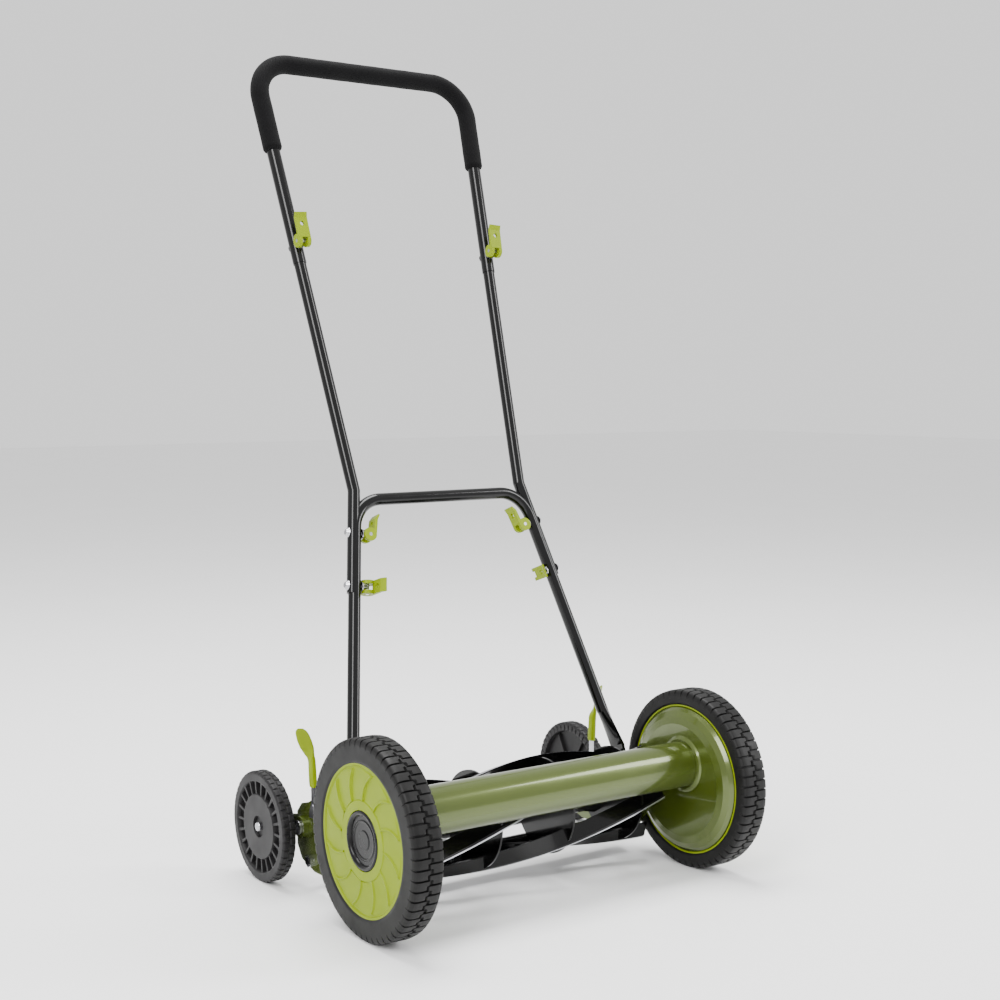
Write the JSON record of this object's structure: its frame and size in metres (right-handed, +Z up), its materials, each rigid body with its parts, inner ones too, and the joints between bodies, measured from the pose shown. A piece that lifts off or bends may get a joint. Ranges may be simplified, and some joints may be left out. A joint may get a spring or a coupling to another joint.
{
  "type": "reel mower",
  "caption": "Push reel mower: geared front wheels turn a helical reel against a bed knife, with a folding tube handle.",
  "frame": {"origin": "on the ground, under the middle of the whole mower's box", "axes": "+Z up, -Y the way the mower is pushed, +Y towards the handle, X along the wheel axles; left is -X as seen from the front"},
  "size_m": [0.5744, 0.6144, 1.1752],
  "materials": {
    "lime_plastic": "satin moulded",
    "green_metal": "gloss metallic",
    "tyre_rubber": "matt",
    "black_plastic": "gloss",
    "wheel_plastic": "satin moulded",
    "black_paint": "gloss powder coat",
    "foam": "soft matt foam",
    "bare_steel": "plated"
  },
  "bodies": {
    "chassis": {"front_tube": "green_metal", "side_cover_left": "green_metal", "side_cover_right": "green_metal", "side_plate_left": "green_metal", "side_plate_right": "green_metal", "front_axle_left": "bare_steel", "front_axle_right": "bare_steel", "cover_rivets": "bare_steel", "reel_bearing_left": "bare_steel", "reel_bearing_right": "bare_steel", "bed_knife": "bare_steel", "knife_carrier": "black_paint", "knife_screws": "bare_steel", "knife_adjusters": "bare_steel", "rear_tie_rod": "black_paint", "tie_rod_nuts": "bare_steel", "arm_pivots": "bare_steel", "pivot_bolts": "bare_steel", "pivot_washers": "bare_steel"},
    "reel": {"reel_shaft": "bare_steel", "reel_spiders": "black_paint", "reel_blades": "black_paint", "pinion_left": "bare_steel", "pinion_clips": "bare_steel"},
    "right_pinion": {"pinion_right": "bare_steel"},
    "handle": {"lower_handle": "black_paint", "mid_tube_left": "black_paint", "mid_tube_right": "black_paint", "upper_handle": "black_paint", "foam_grip": "foam", "clamp_bolts": "bare_steel"},
    "front_wheel_body_left": {"front_wheel_left": "lime_plastic", "front_tyre_left": "tyre_rubber", "wheel_bush_left": "bare_steel", "hub_cap_left": "black_plastic", "ring_gear_left": "black_plastic"},
    "height_arm_body_left": {"height_arm_left": "green_metal", "rear_axle_left": "bare_steel", "lever_strip_left": "bare_steel", "height_paddle_left": "lime_plastic"},
    "rear_wheel_body_left": {"rear_wheel_left": "wheel_plastic"},
    "front_wheel_body_right": {"front_wheel_right": "lime_plastic", "front_tyre_right": "tyre_rubber", "wheel_bush_right": "bare_steel", "hub_cap_right": "black_plastic", "ring_gear_right": "black_plastic"},
    "height_arm_body_right": {"height_arm_right": "green_metal", "rear_axle_right": "bare_steel", "lever_strip_right": "bare_steel", "height_paddle_right": "lime_plastic"},
    "rear_wheel_body_right": {"rear_wheel_right": "wheel_plastic"},
    "cam_high_left": {"cam_lever_high_left": "lime_plastic"},
    "cam_low_left": {"cam_lever_low_left": "lime_plastic"},
    "cam_upper_left": {"cam_lever_upper_left": "lime_plastic"},
    "cam_high_right": {"cam_lever_high_right": "lime_plastic"},
    "cam_low_right": {"cam_lever_low_right": "lime_plastic"},
    "cam_upper_right": {"cam_lever_upper_right": "lime_plastic"}
  },
  "joints": [
    {"name": "front_wheel_left_spin", "type": "hinge", "parent": "chassis", "child": "front_wheel_body_left", "pos_m": [-0.265, -0.1802, 0.127], "axis": [1, 0, 0], "continuous": true},
    {"name": "front_wheel_right_spin", "type": "hinge", "parent": "chassis", "child": "front_wheel_body_right", "pos_m": [0.265, -0.1802, 0.127], "axis": [1, 0, 0], "continuous": true},
    {"name": "reel_spin", "type": "hinge", "parent": "chassis", "child": "reel", "pos_m": [0, -0.09667, 0.0993], "axis": [1, 0, 0], "continuous": true},
    {"name": "right_pinion_spin", "type": "hinge", "parent": "chassis", "child": "right_pinion", "pos_m": [0.261, -0.09667, 0.0993], "axis": [1, 0, 0], "continuous": true},
    {"name": "height_left", "type": "hinge", "parent": "chassis", "child": "height_arm_body_left", "pos_m": [-0.241, 0.0578, 0.0825], "axis": [1, 0, 0], "range_deg": [-18, 18]},
    {"name": "rear_wheel_left_spin", "type": "hinge", "parent": "height_arm_body_left", "child": "rear_wheel_body_left", "pos_m": [-0.272, 0.1097, 0.077], "axis": [1, 0, 0], "continuous": true},
    {"name": "height_right", "type": "hinge", "parent": "chassis", "child": "height_arm_body_right", "pos_m": [0.241, 0.0578, 0.0825], "axis": [1, 0, 0], "range_deg": [-18, 18]},
    {"name": "rear_wheel_right_spin", "type": "hinge", "parent": "height_arm_body_right", "child": "rear_wheel_body_right", "pos_m": [0.272, 0.1097, 0.077], "axis": [1, 0, 0], "continuous": true},
    {"name": "handle_tilt", "type": "hinge", "parent": "chassis", "child": "handle", "pos_m": [0, -0.0632, 0.12501], "axis": [1, 0, 0], "range_deg": [-40, 10]},
    {"name": "cam_high_left_swing", "type": "hinge", "parent": "handle", "child": "cam_high_left", "pos_m": [-0.13317, 0.05836, 0.47844], "axis": [0, 0.9456, -0.3252], "range_deg": [0, 110]},
    {"name": "cam_low_left_swing", "type": "hinge", "parent": "handle", "child": "cam_low_left", "pos_m": [-0.14844, 0.03429, 0.40846], "axis": [0.2021, 0.3185, 0.9261], "range_deg": [0, 110]},
    {"name": "cam_upper_left_swing", "type": "hinge", "parent": "handle", "child": "cam_upper_left", "pos_m": [-0.16668, 0.17865, 0.8929], "axis": [0.9978, 0.0213, 0.062], "range_deg": [0, 110]},
    {"name": "cam_high_right_swing", "type": "hinge", "parent": "handle", "child": "cam_high_right", "pos_m": [0.13317, 0.05836, 0.47844], "axis": [0, -0.9456, 0.3252], "range_deg": [0, 110]},
    {"name": "cam_low_right_swing", "type": "hinge", "parent": "handle", "child": "cam_low_right", "pos_m": [0.14844, 0.03429, 0.40846], "axis": [0.2021, -0.3185, -0.9261], "range_deg": [0, 110]},
    {"name": "cam_upper_right_swing", "type": "hinge", "parent": "handle", "child": "cam_upper_right", "pos_m": [0.16668, 0.17865, 0.8929], "axis": [0.9978, -0.0213, -0.062], "range_deg": [0, 110]}
  ],
  "couplings": [
    {"joint": "reel_spin", "follows": "front_wheel_left_spin", "ratio": 9},
    {"joint": "right_pinion_spin", "follows": "front_wheel_right_spin", "ratio": 9}
  ]
}
